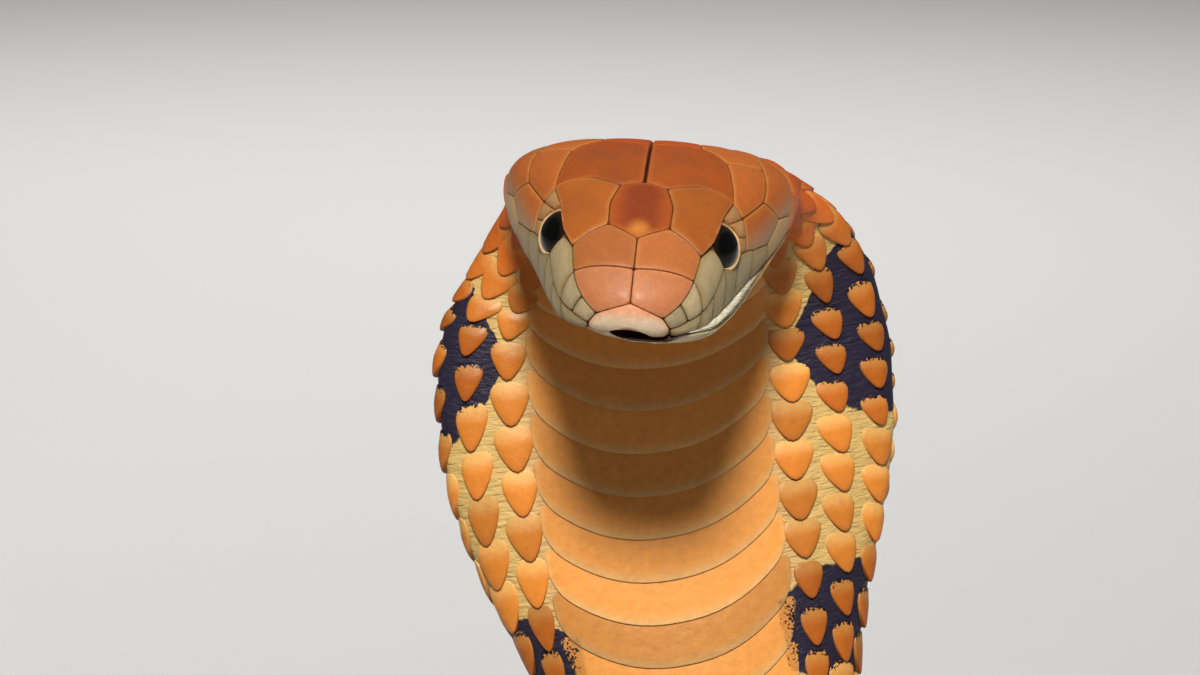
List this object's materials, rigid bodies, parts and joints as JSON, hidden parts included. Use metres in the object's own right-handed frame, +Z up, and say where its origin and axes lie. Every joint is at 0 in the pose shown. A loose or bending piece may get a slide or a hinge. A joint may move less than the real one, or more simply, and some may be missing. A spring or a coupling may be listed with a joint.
{
  "type": "king cobra figure",
  "caption": "Life-size still model of a king cobra reared up with spread hood, head level and forward, body lying in a loose flat coil on the floor.",
  "frame": {"origin": "on the floor under the belly, just where the neck leaves the floor", "axes": "+Z up, the snake faces -Y, +X towards the snake's left"},
  "size_m": [0.4663, 0.5916, 0.554],
  "materials": {
    "crown": "smooth, slightly glossy head shields",
    "lips": "smooth, slightly glossy lip shields",
    "eye": "wet gloss",
    "hood": "satin scales on pale skin",
    "body": "satin scales with pale crossbands",
    "tail": "satin scales with pale crossbands"
  },
  "bodies": {
    "root": {"head": "crown", "lower_jaw": "lips", "eye_left": "eye", "eye_right": "eye", "hood_upper": "hood", "hood_lower": "hood", "neck": "hood", "neck_base": "body", "body_1": "body", "body_2": "body", "body_3": "body", "body_4": "body", "body_5": "body", "body_6": "body", "body_7": "body", "tail_1": "tail", "tail_2": "tail", "tail_3": "tail"}
  },
  "joints": []
}
